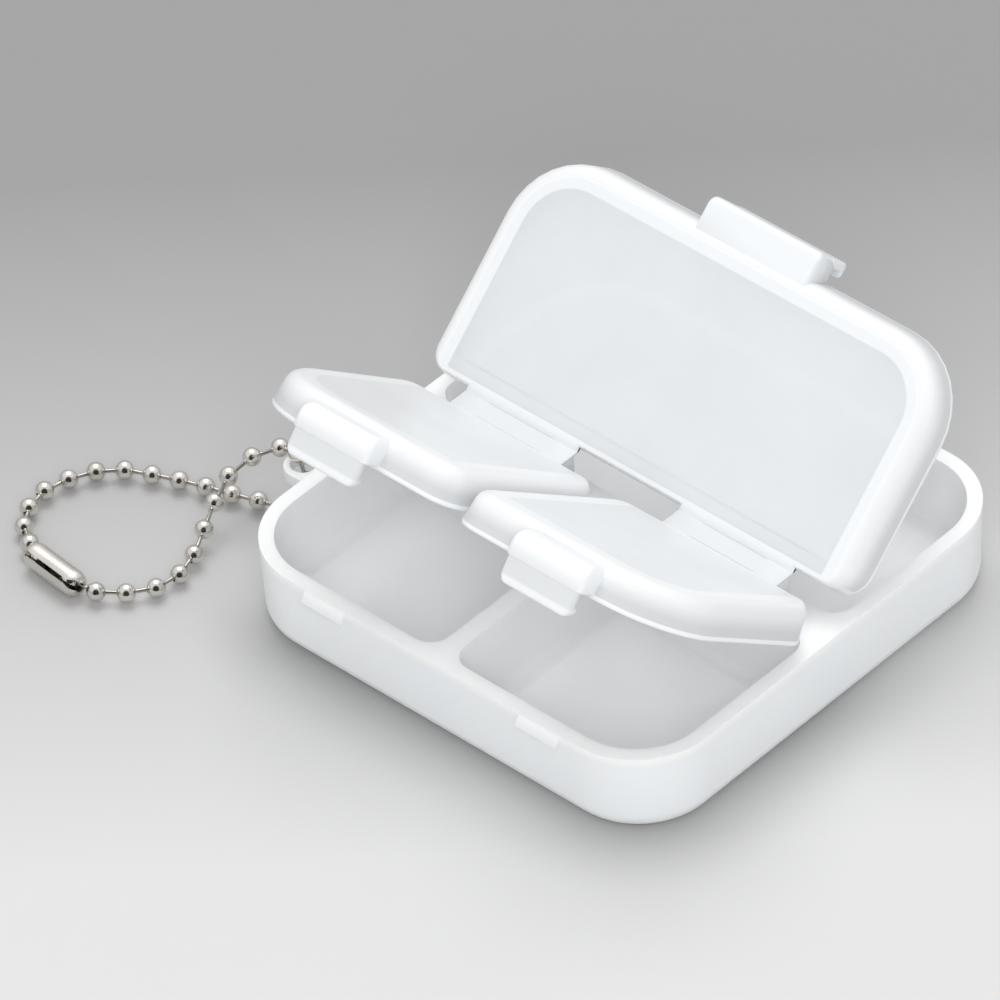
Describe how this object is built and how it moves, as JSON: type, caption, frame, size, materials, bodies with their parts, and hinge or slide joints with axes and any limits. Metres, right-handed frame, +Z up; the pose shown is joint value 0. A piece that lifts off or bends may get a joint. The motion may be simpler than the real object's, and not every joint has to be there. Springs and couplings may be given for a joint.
{
  "type": "pocket storage box",
  "caption": "Frosted pocket storage box with divided tray, flip lids on a central hinge strip and a ball chain.",
  "frame": {"origin": "middle of the tray's underside", "axes": "+X along the front edge towards the right, +Y from the front to the rear, +Z up"},
  "size_m": [0.1009, 0.079, 0.0398],
  "materials": {
    "frosted_tray": "frosted translucent white",
    "frosted_lid": "frosted translucent white, thinner than the tray",
    "hinge_film": "thin flexible translucent white",
    "nickel": "bright nickel plating with fine wear"
  },
  "bodies": {
    "case": {"tray": "frosted_tray", "left_hinge_block": "frosted_lid", "right_hinge_block": "frosted_lid", "left_front_hinge": "hinge_film", "right_front_hinge": "hinge_film", "left_rear_hinge": "hinge_film", "right_rear_hinge": "hinge_film", "chain_ball_1": "nickel", "chain_ball_2": "nickel", "chain_ball_3": "nickel", "chain_ball_4": "nickel", "chain_ball_5": "nickel", "chain_ball_6": "nickel", "chain_ball_7": "nickel", "chain_ball_8": "nickel", "chain_ball_9": "nickel", "chain_ball_10": "nickel", "chain_ball_11": "nickel", "chain_ball_12": "nickel", "chain_ball_13": "nickel", "chain_ball_14": "nickel", "chain_ball_15": "nickel", "chain_ball_16": "nickel", "chain_ball_17": "nickel", "chain_ball_18": "nickel", "chain_ball_19": "nickel", "chain_ball_20": "nickel", "chain_ball_21": "nickel", "chain_ball_22": "nickel", "chain_ball_23": "nickel", "chain_ball_24": "nickel", "chain_ball_25": "nickel", "chain_ball_26": "nickel", "chain_ball_27": "nickel", "chain_ball_28": "nickel", "chain_links": "nickel", "chain_clasp": "nickel"},
    "large_lid": {"large_lid": "frosted_lid"},
    "left_lid": {"left_lid": "frosted_lid"},
    "right_lid": {"right_lid": "frosted_lid"}
  },
  "joints": [
    {"name": "large_lid_hinge", "type": "hinge", "parent": "case", "child": "large_lid", "pos_m": [0, 0.0016, 0.0164], "axis": [1, 0, 0], "range_deg": [-43, 45]},
    {"name": "left_lid_hinge", "type": "hinge", "parent": "case", "child": "left_lid", "pos_m": [-0.0172, -0.0016, 0.0164], "axis": [1, 0, 0], "range_deg": [-50, 38]},
    {"name": "right_lid_hinge", "type": "hinge", "parent": "case", "child": "right_lid", "pos_m": [0.0172, -0.0016, 0.0164], "axis": [1, 0, 0], "range_deg": [-51.3, 36.7]}
  ]
}
